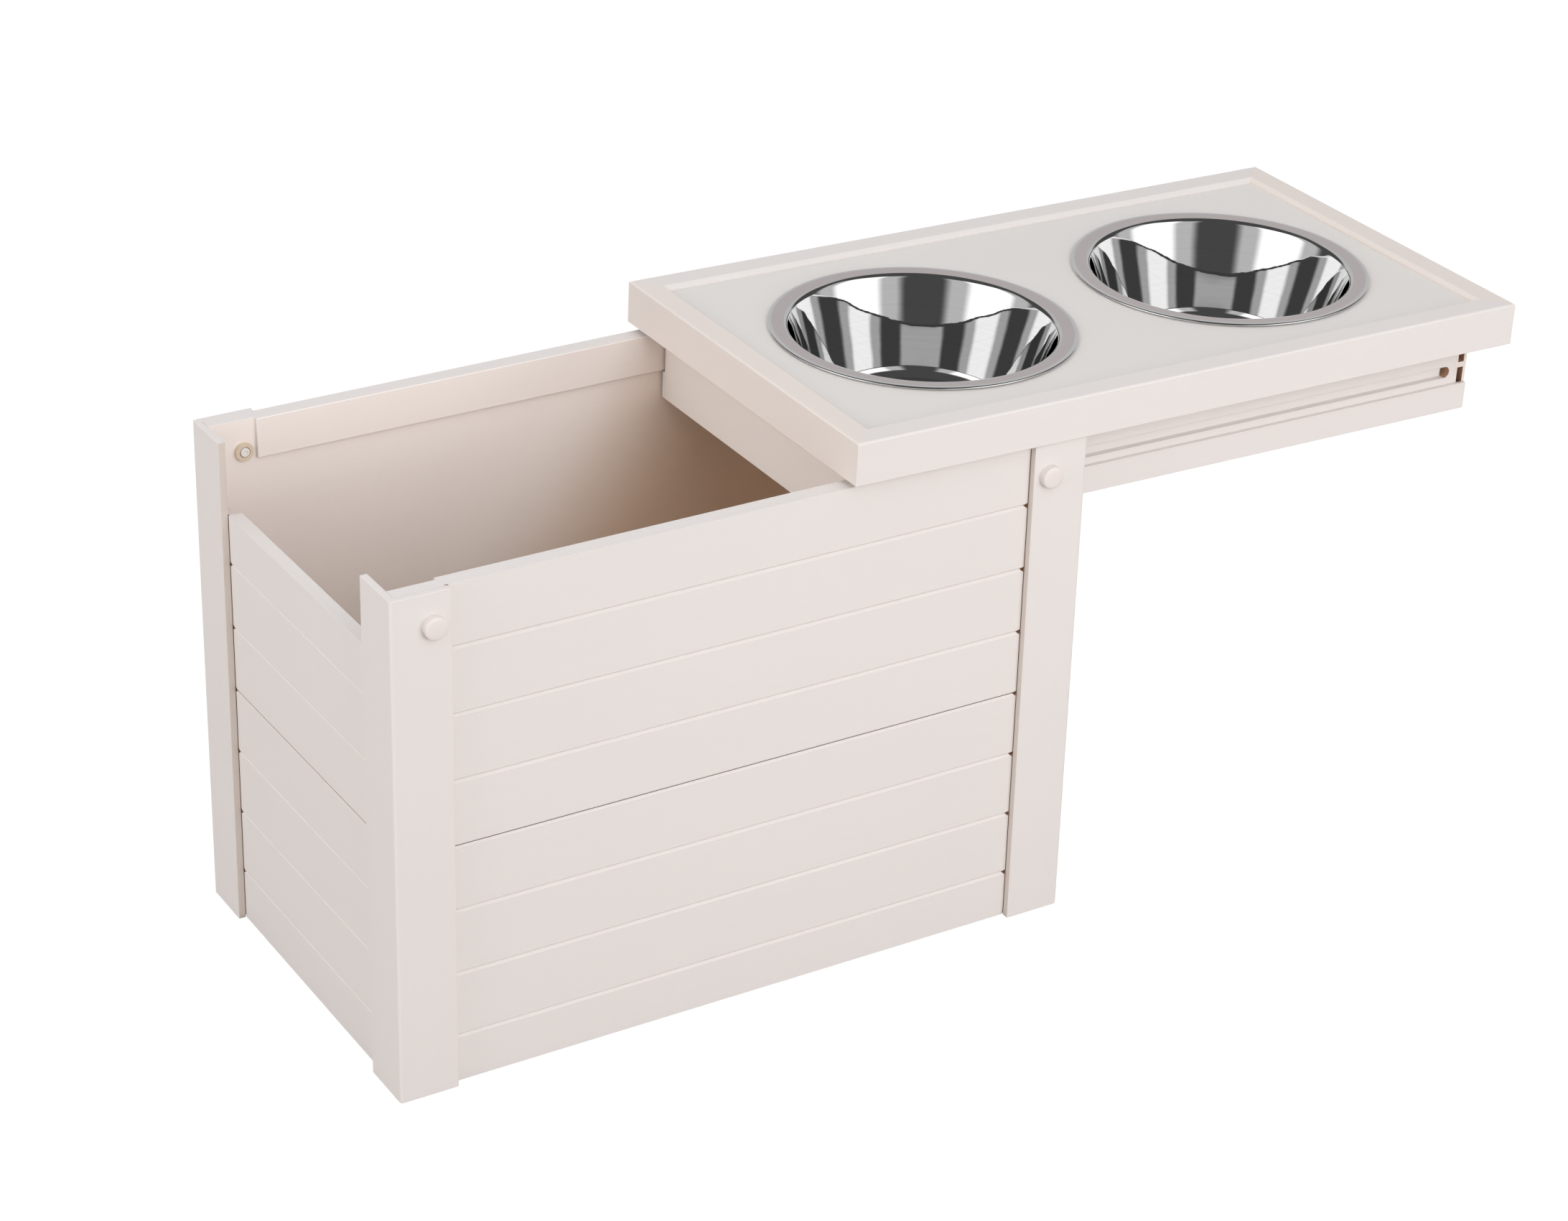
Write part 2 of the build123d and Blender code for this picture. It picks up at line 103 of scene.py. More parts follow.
def new_finish(name, **sockets):
    """A material with one Principled shader, whose named sockets are set to plain values."""
    finish = bpy.data.materials.new(name)
    finish.use_nodes = True
    shader = finish.node_tree.nodes["Principled BSDF"]
    for socket, value in sockets.items():
        shader.inputs[socket.replace("_", " ")].default_value = value
    return finish, finish.node_tree, shader


def add(tree, kind, settings=None, **inputs):
    """A node of a kind, with its settings, whose inputs are values or the outputs of other nodes."""
    node = tree.nodes.new(kind)
    for key, value in (settings or {}).items():
        setattr(node, key, value)
    for key, value in inputs.items():
        by_number = key[0] == "i" and key[1:].isdigit()
        socket = node.inputs[int(key[1:])] if by_number else node.inputs[key.replace("_", " ")]
        if isinstance(value, bpy.types.NodeSocket):
            tree.links.new(value, socket)
        else:
            socket.default_value = value
    return node


def math(tree, operation, first, second=0.0):
    """The result of a Math node."""
    return add(tree, "ShaderNodeMath", {"operation": operation}, i0=first, i1=second).outputs[0]


def blend_colour(tree, amount, first, second):
    """A colour between two others."""
    node = add(tree, "ShaderNodeMix", {"data_type": "RGBA"}, i0=amount, i6=first, i7=second)
    return node.outputs[2]


def noise(tree, place, per_m, detail):
    """Soft noise from 0 to 1, with about so many swings to the metre."""
    return add(tree, "ShaderNodeTexNoise", Vector=place, Scale=per_m, Detail=detail).outputs["Fac"]


def around(tree, middle, uneven, spread):
    """A level that an uneven value from 0 to 1 moves around its middle, by a spread in all."""
    return math(tree, "ADD", math(tree, "MULTIPLY", uneven, spread), middle - spread / 2)


def shaded(tree, colour, value):
    """A colour made lighter or darker."""
    return add(tree, "ShaderNodeHueSaturation", Value=value, Color=colour).outputs[0]


def fade(tree, value, first, second, low=0.0, high=1.0, kind="SMOOTHSTEP"):
    """One level where a value is at its first mark, another at its second, and a fade between them."""
    kind = {"interpolation_type": kind}
    return add(tree, "ShaderNodeMapRange", kind, i0=value, i1=first, i2=second, i3=low, i4=high).outputs[0]


print("shader helpers ready")

# %% [markdown]
# ## The wood-polymer finish
#
# Posts, boards and frame are one antique white composite of wood dust and plastic. It is coloured through,
# with a satin skin that is drawn along each length: very fine streaks, a faint mottling, and small pores.
# An image of grain would not follow each length, so the streaks are noise stretched along one axis.
# The boards' inner faces are painted a lighter white, as painted light, and deep in the box towards the covered
# end they turn brown, as painted shade. Inner faces are found by their normals, which point at the middle of the
# box.

# %% Make the composite
IVORY = seen(231, 225, 222)
# Painted light: the inner faces are painted lighter than the outer ones.
INSIDE_PAINTED_LIGHT = seen(249, 240, 234)
# Painted shade: the brown that the inner faces turn deep in the box towards the covered end.
INSIDE_PAINTED_SHADE = seen(229, 202, 178)
# The composite's brown core, used mostly as painted shade in joints, notches, pockets, holes and chambers.
CORE_AND_SHADE_BROWN = seen(184, 146, 118)
# Painted warm bounce light on the posts' flange edges.
EDGE_PAINTED_BOUNCE = seen(222, 211, 203)
# Painted warm bounce light on the tray's end bars and end boards.
END_PAINTED_BOUNCE = seen(234, 224, 217)
STREAKS_PER_M = 900.0
STREAK_STRETCH = 0.02
MOTTLE_PER_M = 9.0
PORES_PER_M = 1800.0
TONE_SPREAD = 0.05
GLOSS_SPREAD = 0.16
STREAK_RELIEF = 0.6
RELIEF_STRENGTH = 0.2
RELIEF_DEPTH = 0.08 * MM
SHADE_ALONG = 1.5
SHADE_DOWN = 0.8
SHADE_FROM = 0.85
SHADE_BY = 1.4

inside_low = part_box("bin_floor")[0]
inside_high = Vector((*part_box("bin_floor")[1].xy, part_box("back_board_upper")[1].z))
inside_middle = (inside_low + inside_high) / 2
inside_size = inside_high - inside_low


def painted_inside_tone(tree, place, tone):
    """The outer tone on faces that look away from the box's middle; on the others painted light, turning to
    painted brown shade deep in the box.
    """
    normal = add(tree, "ShaderNodeSeparateXYZ", i0=add(tree, "ShaderNodeNewGeometry").outputs["Normal"])
    at = add(tree, "ShaderNodeSeparateXYZ", i0=place)
    inward = []
    for axis in range(2):
        side = math(tree, "SIGN", math(tree, "SUBTRACT", at.outputs[axis], inside_middle[axis]))
        inward.append(math(tree, "MULTIPLY", math(tree, "MULTIPLY", side, normal.outputs[axis]), -1.0))
    faces_in = math(tree, "GREATER_THAN", math(tree, "MAXIMUM", *inward), 0.5)
    # The painted shade grows towards the covered end and downwards.
    along = math(tree, "DIVIDE", math(tree, "SUBTRACT", at.outputs[0], inside_low.x), inside_size.x)
    down = math(tree, "DIVIDE", math(tree, "SUBTRACT", inside_high.z, at.outputs[2]), inside_size.z)
    warmer = [math(tree, "MULTIPLY", along, SHADE_ALONG), math(tree, "MULTIPLY", down, SHADE_DOWN)]
    deep = fade(tree, math(tree, "ADD", *warmer), SHADE_FROM, SHADE_BY)
    inside = blend_colour(tree, deep, INSIDE_PAINTED_LIGHT, INSIDE_PAINTED_SHADE)
    return blend_colour(tree, faces_in, tone, inside)


def composite_finish(name, tone, along, hollow=False, roughness=0.42):
    """Composite with its streaks along one axis (0 for X, 1 for Y, 2 for Z), and painted light and shade on its
    inner faces when hollow is set.
    """
    finish, tree, shader = new_finish(name, IOR=1.48)
    place = add(tree, "ShaderNodeTexCoord").outputs["Object"]
    stretch = [STREAK_STRETCH if axis == along else 1.0 for axis in range(3)]
    drawn = add(tree, "ShaderNodeMapping", Vector=place, Scale=stretch).outputs[0]
    streaks = noise(tree, drawn, STREAKS_PER_M, 3.0)
    mottle = noise(tree, place, MOTTLE_PER_M, 4.0)
    pores = noise(tree, place, PORES_PER_M, 2.0)
    colour = painted_inside_tone(tree, place, tone) if hollow else tone
    uneven = math(tree, "ADD", math(tree, "MULTIPLY", streaks, 0.5), math(tree, "MULTIPLY", mottle, 0.5))
    value = around(tree, 1, uneven, TONE_SPREAD)
    tree.links.new(shaded(tree, colour, value), shader.inputs["Base Color"])
    tree.links.new(around(tree, roughness, streaks, GLOSS_SPREAD), shader.inputs["Roughness"])
    drawn_relief = math(tree, "MULTIPLY", streaks, STREAK_RELIEF)
    relief = math(tree, "ADD", drawn_relief, math(tree, "MULTIPLY", pores, 1 - STREAK_RELIEF))
    bump = add(tree, "ShaderNodeBump", Strength=RELIEF_STRENGTH, Distance=RELIEF_DEPTH, Height=relief)
    tree.links.new(bump.outputs[0], shader.inputs["Normal"])
    return finish


board_finishes = [composite_finish(f"board composite along {'XY'[a]}", IVORY, a, True) for a in range(2)]
bar_finishes = [composite_finish(f"bar composite along {'XYZ'[a]}", IVORY, a) for a in range(3)]
# Painted shade for recesses, in the core's brown.
core_and_shade_finish = composite_finish("composite core", CORE_AND_SHADE_BROWN, 1, roughness=0.6)
# Painted bounce light: a creamier tone for the narrow edges of the posts' flanges.
edge_bounce_finish = composite_finish("composite painted bounce at flange edges", EDGE_PAINTED_BOUNCE, 2, roughness=0.5)
# Painted bounce light: a warmer tone for the tray's end bars and end boards.
end_bounce_finish = composite_finish("bar composite with painted bounce light", END_PAINTED_BOUNCE, 1)
print("composites", [m.name for m in board_finishes + bar_finishes + [core_and_shade_finish, edge_bounce_finish, end_bounce_finish]])

# %% [markdown]
# ## The smaller finishes
#
# The tray's sunk panel is pressed from the same composite, but a cooler white and a little smoother. The caps
# and pins are moulded nylon. Each moulded piece has a faint orange peel, made by a noise bump, and slightly
# uneven gloss. The washers and glides are beige nylon.

# %% Make the panel and nylon finishes
CLOUDS_PER_M = 60.0
CLOUD_SPREAD = 0.05
CLOUD_GLOSS_SPREAD = 0.12
PEELS_PER_M = 700.0
PEEL_DEPTH = 0.06 * MM


def moulded_finish(name, tone, roughness, **sockets):
    """Moulded plastic: an even colour with a faint cloud in it, orange peel, and slightly uneven gloss."""
    finish, tree, shader = new_finish(name, **sockets)
    place = add(tree, "ShaderNodeTexCoord").outputs["Object"]
    cloud = noise(tree, place, CLOUDS_PER_M, 3.0)
    peel = noise(tree, place, PEELS_PER_M, 2.0)
    value = around(tree, 1, cloud, CLOUD_SPREAD)
    tree.links.new(shaded(tree, tone, value), shader.inputs["Base Color"])
    tree.links.new(around(tree, roughness, cloud, CLOUD_GLOSS_SPREAD), shader.inputs["Roughness"])
    bump = add(tree, "ShaderNodeBump", Strength=RELIEF_STRENGTH, Distance=PEEL_DEPTH, Height=peel)
    tree.links.new(bump.outputs[0], shader.inputs["Normal"])
    return finish


PANEL_WHITE = seen(229, 225, 221)
NYLON_WHITE = seen(232, 223, 220)
NYLON_CLEAR = seen(242, 237, 232)
NYLON_BEIGE = seen(226, 208, 184)

panel_finish = composite_finish("panel composite", PANEL_WHITE, 0, roughness=0.36)
cap_finish = moulded_finish("cap nylon", NYLON_WHITE, 0.38)
pin_finish = moulded_finish("pin nylon", NYLON_CLEAR, 0.28, Subsurface_Weight=0.1, Subsurface_Scale=0.002)
washer_finish = moulded_finish("washer nylon", NYLON_BEIGE, 0.4)
print("moulded finishes", [m.name for m in (panel_finish, cap_finish, pin_finish, washer_finish)])

# %% [markdown]
# ## Polished steel
#
# The bowls are spun steel, polished almost to a mirror inside, with a satin rim. What makes them read as
# steel is what they reflect, so the shader is plain: full metal and low roughness. The wall and floor keep
# the fine rings of their polishing wheel. The rings and the satin rim follow the radius that each bowl's mesh
# stores. The satin rim is also painted a darker mauve grey, as a painted reflection of the pale surroundings.
# A very low, wide bump lets the reflections waver as thin drawn sheet does.

# %% Make the steel
STEEL = seen(224, 224, 224)
# Painted reflection: a darker mauve grey on the satin rim.
RIM_PAINTED_REFLECTION = seen(214, 204, 204)
SATIN_EDGES = ((95.5 * MM, 97.0 * MM), (105.6 * MM, 104.8 * MM))
RINGS_PER_M = 1500.0
RING_TONE_SPREAD = 0.1
RING_ROUGHNESS = 0.02
RING_DEPTH = 0.015 * MM
SATIN_ROUGHNESS = 0.12
WAVERS_PER_M = 22.0
WAVER_DEPTH = 0.9 * MM

steel_finish, steel_tree, steel_shader = new_finish("bowl steel", Metallic=1.0)
radius = add(steel_tree, "ShaderNodeAttribute", {"attribute_name": "radius"}).outputs["Fac"]
ring_settings = {"noise_dimensions": "1D"}
ring_noise = add(steel_tree, "ShaderNodeTexNoise", ring_settings, W=radius, Scale=RINGS_PER_M, Detail=3.0)
rings = ring_noise.outputs["Fac"]
satin_sides = [fade(steel_tree, radius, first, second, kind="LINEAR") for first, second in SATIN_EDGES]
satin = math(steel_tree, "MULTIPLY", *satin_sides)
steel_place = add(steel_tree, "ShaderNodeTexCoord").outputs["Object"]
waver = noise(steel_tree, steel_place, WAVERS_PER_M, 2.0)
steel_colour = blend_colour(steel_tree, satin, STEEL, RIM_PAINTED_REFLECTION)
steel_tone = shaded(steel_tree, steel_colour, around(steel_tree, 1, rings, RING_TONE_SPREAD))
steel_tree.links.new(steel_tone, steel_shader.inputs["Base Color"])
ring_gloss = math(steel_tree, "MULTIPLY", rings, RING_ROUGHNESS)
steel_gloss = math(steel_tree, "ADD", ring_gloss, math(steel_tree, "MULTIPLY", satin, SATIN_ROUGHNESS))
steel_tree.links.new(steel_gloss, steel_shader.inputs["Roughness"])
ring_bump = add(steel_tree, "ShaderNodeBump", Strength=0.1, Distance=RING_DEPTH, Height=rings)
waver_bump = add(steel_tree, "ShaderNodeBump", Strength=0.25, Distance=WAVER_DEPTH, Height=waver)
steel_tree.links.new(ring_bump.outputs[0], waver_bump.inputs["Normal"])
steel_tree.links.new(waver_bump.outputs[0], steel_shader.inputs["Normal"])
print("steel", steel_finish.name)

# %% [markdown]
# ## Eased edges
#
# The posts, frame bars, rails and strips are cut lengths of extruded profile. Their shapes are right in the
# CAD model, but its edges are perfectly sharp, and no real edge is: each catches a thin line of light.
# Each CAD piece is copied, its loose triangles are merged and its flat faces cleared of inner edges. Then a
# Bevel modifier rounds every edge that is sharper than 30 degrees. Smooth shading would now bend the light
# across the wide flat faces, so a Weighted Normal modifier lets the largest faces set the normals.
# Chosen faces may take a second finish: painted bounce light on narrow flange edges, painted shade in holes and
# chambers.


# %% Helpers that ease the edges of a piece
MERGE = 0.01 * MM
FLAT = radians(0.5)
SHARP = radians(30)
UPRIGHT = 0.1
LONG_SIDE = 0.2


def close_shape(shape, name, *finishes):
    """The finished mesh of a shape, with its finishes."""
    mesh = bpy.data.meshes.new(name)
    shape.to_mesh(mesh)
    shape.free()
    for finish in finishes:
        mesh.materials.append(finish)
    return mesh


def new_piece(name, mesh):
    """An object for a mesh, in the scene."""
    piece = bpy.data.objects.new(name, mesh)
    bpy.context.scene.collection.objects.link(piece)
    return piece


def ease_edges(piece, width):
    """Round the piece's sharp edges, with even shading across its flat faces."""
    for face in piece.data.polygons:
        face.use_smooth = True
    bevel = piece.modifiers.new("eased edges", "BEVEL")
    bevel.width = width
    bevel.segments = 2
    bevel.limit_method = "ANGLE"
    bevel.angle_limit = SHARP
    bevel.use_clamp_overlap = False
    weighted = piece.modifiers.new("flat faces", "WEIGHTED_NORMAL")
    weighted.mode = "FACE_AREA"
    weighted.weight = 100


def eased_copy(node, finish, slot, width=0.4 * MM, second=None, takes_second=None, grown=0.0):
    """A copy of a CAD piece with eased edges, in its place. Chosen faces take the second finish.

    Its long upright sides may be moved outwards a little, to close the gap left for fitting in the CAD model.
    """
    shape = bmesh.new()
    shape.from_mesh(nodes[node].data)
    bmesh.ops.remove_doubles(shape, verts=shape.verts, dist=MERGE)
    bmesh.ops.dissolve_limit(shape, angle_limit=FLAT, verts=shape.verts, edges=shape.edges)
    shape.normal_update()
    if second:
        for face in shape.faces:
            face.material_index = int(takes_second(face))
    if grown:
        upright = [face for face in shape.faces if abs(face.normal.z) < UPRIGHT]
        sides = [face for face in upright if max(edge.calc_length() for edge in face.edges) > LONG_SIDE]
        moves = [(vertex, face.normal * grown) for face in sides for vertex in face.verts]
        for vertex, move in moves:
            vertex.co += move
    finishes = (finish, second) if second else (finish,)
    piece = new_piece(node + "_eased", close_shape(shape, node + "_eased", *finishes))
    ease_edges(piece, width)
    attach(piece, bodies[node])
    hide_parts(node)
    return piece


print("edge easing ready")

# %% [markdown]
# ## Corner posts
#
# Each corner post is an angle profile. Its streaks run upwards, as it was extruded. The narrow edges of its
# two flanges are painted a creamier white than its broad faces: painted warm bounce light that falls on them in
# shade.

# %% Ease the posts
POSTS = ("post_front_left", "post_back_left", "post_front_right", "post_back_right")
NARROW = (3 * MM, 7 * MM)


def is_flange_edge(face):
    """True for the long narrow faces at the edges of a post's flanges."""
    across = [edge.calc_length() for edge in face.edges]
    upright_strip = abs(face.normal.z) < UPRIGHT and len(across) == 4
    return upright_strip and max(across) > LONG_SIDE and NARROW[0] < min(across) < NARROW[1]


posts = []
for name in POSTS:
    posts.append(eased_copy(name, bar_finishes[2], "box_composite", 0.5 * MM, edge_bounce_finish, is_flange_edge))
print("posts", [(post.name, sum(f.material_index for f in post.data.polygons)) for post in posts])

# %% [markdown]
# ## The tray's frame
#
# The frame is four bars with mitred corners, welded so well that no joint shows. The CAD model has them as
# four pieces. Here they become one ring: the faces inside the mitres are dropped and the edges merged. Each
# bar keeps its own finish, so the streaks still turn with it at the corners. The two end bars are painted a
# slightly warmer white, as painted warm light bounced onto the tray's ends from the box's inside.

# %% Weld the frame
FRAME_BARS = {"frame_front": 0, "frame_back": 0, "frame_left": 1, "frame_right": 1}
MITRE_NORMAL = 0.5**0.5

ring = bmesh.new()
for node, finish_index in FRAME_BARS.items():
    first_new = len(ring.faces)
    ring.from_mesh(nodes[node].data)
    ring.faces.ensure_lookup_table()
    for face in ring.faces[first_new:]:
        face.material_index = finish_index
upright = [face for face in ring.faces if abs(face.normal.z) < UPRIGHT]
mitre_faces = [face for face in upright if abs(abs(face.normal.y) - MITRE_NORMAL) < 0.01]
bmesh.ops.delete(ring, geom=mitre_faces, context="FACES")
bmesh.ops.remove_doubles(ring, verts=ring.verts, dist=2 * MERGE)
bmesh.ops.dissolve_limit(ring, angle_limit=FLAT, verts=ring.verts, edges=ring.edges, delimit={"MATERIAL"})
open_edges = [edge for edge in ring.edges if len(edge.link_faces) != 2]
print("frame ring", len(ring.faces), "faces,", len(open_edges), "open edges")
frame_ring = new_piece("frame_ring", close_shape(ring, "frame_ring", bar_finishes[0], end_bounce_finish))
ease_edges(frame_ring, 0.35 * MM)
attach(frame_ring, "tray")
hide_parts(*FRAME_BARS)

# %% [markdown]
# ## Rails, end boards and strips
#
# Below the frame run two rails and two hollow end boards, and along each rail a thin lip that hooks under a
# band on the box's wall. The sunk panel is pressed tight into the frame, so it grows over its fitting gap.

# %% Ease the rails, the bands and the panel
ALONG_TRAY = ("rail_front", "rail_back", "keeper_lip_front", "keeper_lip_back")
ACROSS_TRAY = ("end_board_left", "end_board_right")
BANDS = ("keeper_band_front", "keeper_band_back")
GROOVE_END = (5.0 * MM, 11.0 * MM)
END_BOARD_OUTSIDE = (9.7 * MM, 53.8 * MM)
PANEL_GAP = 0.4 * MM


def in_groove_end(face):
    """True for the faces of the hole at a groove's end, which lies this far from the end of its rail."""
    before_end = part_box("rail_front")[1].x - face.calc_center_median().x
    return GROOVE_END[0] < before_end < GROOVE_END[1] and abs(face.normal.y) < 0.5


def in_chamber(face):
    """True for the long faces of an end board that are as wide as neither its height nor its thickness."""
    width = min(edge.calc_length() for edge in face.edges)
    return abs(face.normal.y) < 0.5 and all(abs(width - side) > 0.5 * MM for side in END_BOARD_OUTSIDE)


# The end boards take the warmer end finish, painted bounce light. The groove-end holes and chambers take the brown
# core finish: painted shade in these hollows.
rail_look = (bar_finishes[0], "tray_composite", 0.35 * MM, core_and_shade_finish, in_groove_end)
end_board_look = (end_bounce_finish, "tray_composite", 0.25 * MM, core_and_shade_finish, in_chamber)
tray_bars = [eased_copy(name, *rail_look) for name in ALONG_TRAY]
tray_bars += [eased_copy(name, *end_board_look) for name in ACROSS_TRAY]
# The bands take the boards' finish, with its painted light and shade on their inner faces.
bands = [eased_copy(name, board_finishes[0], "box_composite", 0.25 * MM) for name in BANDS]
panel = eased_copy("tray_panel", panel_finish, "panel_composite", 0.2 * MM, grown=PANEL_GAP)
print("tray bars", [bar.name for bar in tray_bars], "bands", [band.name for band in bands], panel.name)

# %% [markdown]
# ## A rule for the slatted boards
#
# Every wall is two wide boards, marked with vee grooves so that they look like narrow slats. The grooves
# could be loop cuts that are pushed in one by one, but they repeat at one pitch, so Geometry Nodes make them:
# a slab, less one lozenge bar for each groove, less the dark gap that is left above the lower board. The side
# boards' ends are also thinned from within, where they slip in behind the flanges of the posts. A shallow
# notch runs down beside each flange, so that the board reads as lying behind the post and not as one with it,
# and a small dark pocket shows where each groove slips under the flange.

# %% Helpers for Geometry Nodes
SOCKETS = {float: "NodeSocketFloat", int: "NodeSocketInt", bpy.types.Material: "NodeSocketMaterial"}


def new_rule(name, **sizes):
    """An empty Geometry Nodes tree with named inputs. Gives the tree and its inputs' outlets by name."""
    rule = bpy.data.node_groups.new(name, "GeometryNodeTree")
    for size, kind in sizes.items():
        rule.interface.new_socket(size.replace("_", " "), in_out="INPUT", socket_type=SOCKETS[kind])
    rule.interface.new_socket("Geometry", in_out="OUTPUT", socket_type="NodeSocketGeometry")
    given = rule.nodes.new("NodeGroupInput")
    return rule, {size: given.outputs[size.replace("_", " ")] for size in sizes}


def end_rule(rule, geometry, finish):
    """Close a rule: its instances are made real and take their finish."""
    real = add(rule, "GeometryNodeRealizeInstances", Geometry=geometry).outputs[0]
    finished = add(rule, "GeometryNodeSetMaterial", Geometry=real, Material=finish).outputs[0]
    rule.links.new(finished, rule.nodes.new("NodeGroupOutput").inputs[0])


def follow_rule(name, rule, place=None, **sizes):
    """Run a rule with its named sizes, and keep what it makes as a plain mesh, moved to its place."""
    maker = bpy.data.objects.new(name, bpy.data.meshes.new(name))
    bpy.context.scene.collection.objects.link(maker)
    modifier = maker.modifiers.new("rule", "NODES")
    modifier.node_group = rule
    for socket in rule.interface.items_tree:
        if socket.in_out == "INPUT":
            modifier[socket.identifier] = sizes[socket.name.replace(" ", "_")]
    mesh = bpy.data.meshes.new_from_object(maker.evaluated_get(bpy.context.evaluated_depsgraph_get()))
    maker.modifiers.remove(modifier)
    mesh.name = name
    mesh.transform(place or Matrix.Identity(4))
    maker.data = mesh
    return maker


def vector(rule, x=0.0, y=0.0, z=0.0):
    """Three numbers or outlets as one vector."""
    return add(rule, "ShaderNodeCombineXYZ", i0=x, i1=y, i2=z).outputs[0]


def axes(rule, place):
    """The three parts of a vector."""
    return add(rule, "ShaderNodeSeparateXYZ", i0=place).outputs


def block(rule, *size):
    """A block of a size."""
    return add(rule, "GeometryNodeMeshCube", Size=vector(rule, *size)).outputs["Mesh"]


def placed(rule, geometry, **how):
    """A geometry moved, turned or scaled."""
    return add(rule, "GeometryNodeTransform", Geometry=geometry, **how).outputs[0]


def copies(rule, points, instance):
    """A real copy of a geometry at every point."""
    instances = add(rule, "GeometryNodeInstanceOnPoints", Points=points, Instance=instance).outputs[0]
    return add(rule, "GeometryNodeRealizeInstances", Geometry=instances).outputs[0]


print("rule helpers ready")

# %% [markdown]
# The board lies along X with its outer face at Y 0 and its own heights along Z. A lozenge that is as tall as
# a groove and twice as deep, centred on the outer face, cuts one groove. A bar at every point of a line of
# points cuts them all at once.

# %% Build the board rule
CUTTER_SPARE = 10 * MM

board_rule, given = new_rule(
    "slatted board",
    Length=float,
    Thickness=float,
    Bottom=float,
    Top=float,
    First_groove=float,
    Groove_pitch=float,
    Groove_count=int,
    Groove_width=float,
    Groove_depth=float,
    Gap_level=float,
    Gap_height=float,
    Tenon_length=float,
    Tenon_thickness=float,
    Notch_at=float,
    Notch_width=float,
    Notch_depth=float,
    Pocket_at=float,
    Pocket_width=float,
    Pocket_depth=float,
    Finish=bpy.types.Material,
)
height = math(board_rule, "SUBTRACT", given["Top"], given["Bottom"])
middle = math(board_rule, "MULTIPLY", math(board_rule, "ADD", given["Top"], given["Bottom"]), 0.5)
half_thick = math(board_rule, "MULTIPLY", given["Thickness"], 0.5)
half_width = math(board_rule, "MULTIPLY", given["Groove_width"], 0.5)
half_gap = math(board_rule, "MULTIPLY", given["Gap_height"], 0.5)
full_length = math(board_rule, "ADD", given["Length"], CUTTER_SPARE)
full_height = math(board_rule, "ADD", height, CUTTER_SPARE)

slab = block(board_rule, given["Length"], given["Thickness"], height)
slab = placed(board_rule, slab, Translation=vector(board_rule, 0.0, half_thick, middle))
bar = placed(board_rule, block(board_rule, full_length, 2**0.5, 2**0.5), Rotation=(pi / 4, 0.0, 0.0))
lozenge = placed(board_rule, bar, Scale=vector(board_rule, 1.0, given["Groove_depth"], half_width))
groove_line = add(
    board_rule,
    "GeometryNodeMeshLine",
    Count=given["Groove_count"],
    Start_Location=vector(board_rule, 0.0, 0.0, given["First_groove"]),
    Offset=vector(board_rule, 0.0, 0.0, given["Groove_pitch"]),
).outputs[0]
grooves = copies(board_rule, groove_line, lozenge)
gap = block(board_rule, full_length, given["Thickness"], given["Gap_height"])
gap_middle = math(board_rule, "ADD", given["Gap_level"], half_gap)
gap = placed(board_rule, gap, Translation=vector(board_rule, 0.0, 0.0, gap_middle))


def at_both_ends(cutter, from_middle, inwards, level):
    """Two copies of a cutter at equal distances from the board's middle."""
    places = add(
        board_rule,
        "GeometryNodeMeshLine",
        Count=2,
        Start_Location=vector(board_rule, math(board_rule, "MULTIPLY", from_middle, -1.0), inwards, level),
        Offset=vector(board_rule, math(board_rule, "MULTIPLY", from_middle, 2.0)),
    )
    return copies(board_rule, places.outputs[0], cutter)


waste_along = math(board_rule, "MULTIPLY", given["Tenon_length"], 2.0)
waste = block(board_rule, waste_along, given["Thickness"], full_height)
half_length = math(board_rule, "MULTIPLY", given["Length"], 0.5)
waste_inwards = math(board_rule, "ADD", given["Tenon_thickness"], half_thick)
wastes = at_both_ends(waste, half_length, waste_inwards, middle)
notch_across = math(board_rule, "MULTIPLY", given["Notch_depth"], 2.0)
notch = block(board_rule, given["Notch_width"], notch_across, full_height)
notches = at_both_ends(notch, given["Notch_at"], 0.0, middle)
pocket_across = math(board_rule, "MULTIPLY", given["Pocket_depth"], 2.0)
pocket = block(board_rule, given["Pocket_width"], pocket_across, given["Pocket_width"])
pocket = placed(board_rule, pocket, Rotation=(0.0, pi / 4, 0.0))
pockets = copies(board_rule, groove_line, at_both_ends(pocket, given["Pocket_at"], 0.0, 0.0))
cut = add(board_rule, "GeometryNodeMeshBoolean", {"operation": "DIFFERENCE", "solver": "EXACT"})
board_rule.links.new(slab, cut.inputs["Mesh 1"])
for cutter in (grooves, gap, wastes, notches, pockets):
    board_rule.links.new(cutter, cut.inputs["Mesh 2"])
end_rule(board_rule, cut.outputs[0], given["Finish"])
print("board rule", len(board_rule.nodes), "nodes")

# %% [markdown]
# ## The eight boards
#
# The rule is run once for each board. The CAD pieces give each board's length, thickness and heights, and the
# joint between the two boards of a wall is where the upper one starts. The faces in the joint, the notches and
# the pockets take the brown core finish, as painted shade that darkens these narrow recesses.

